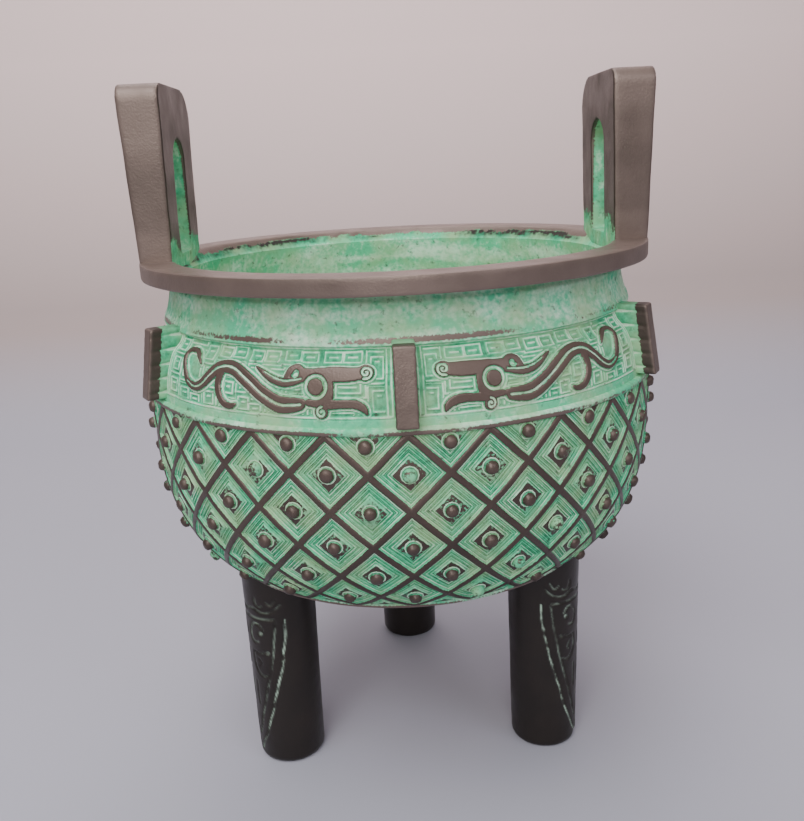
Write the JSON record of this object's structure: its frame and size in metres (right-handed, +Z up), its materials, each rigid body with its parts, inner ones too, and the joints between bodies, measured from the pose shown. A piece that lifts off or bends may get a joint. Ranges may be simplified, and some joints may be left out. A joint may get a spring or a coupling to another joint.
{
  "type": "bronze ding vessel",
  "caption": "Round tripod bronze cauldron with two upright loop ears, a dragon frieze with flanges and a field of lozenges and bosses.",
  "frame": {"origin": "on the ground under the middle of the bowl", "axes": "+Z up, -Y towards the front, the ears on +X and -X"},
  "size_m": [0.1878, 0.1936, 0.2465],
  "materials": {
    "bronze": "cast bronze, mint green patina in the hollows and bare brown on the raised parts, rim, ears and legs"
  },
  "bodies": {
    "root": {"ding_vessel": "bronze"}
  },
  "joints": []
}
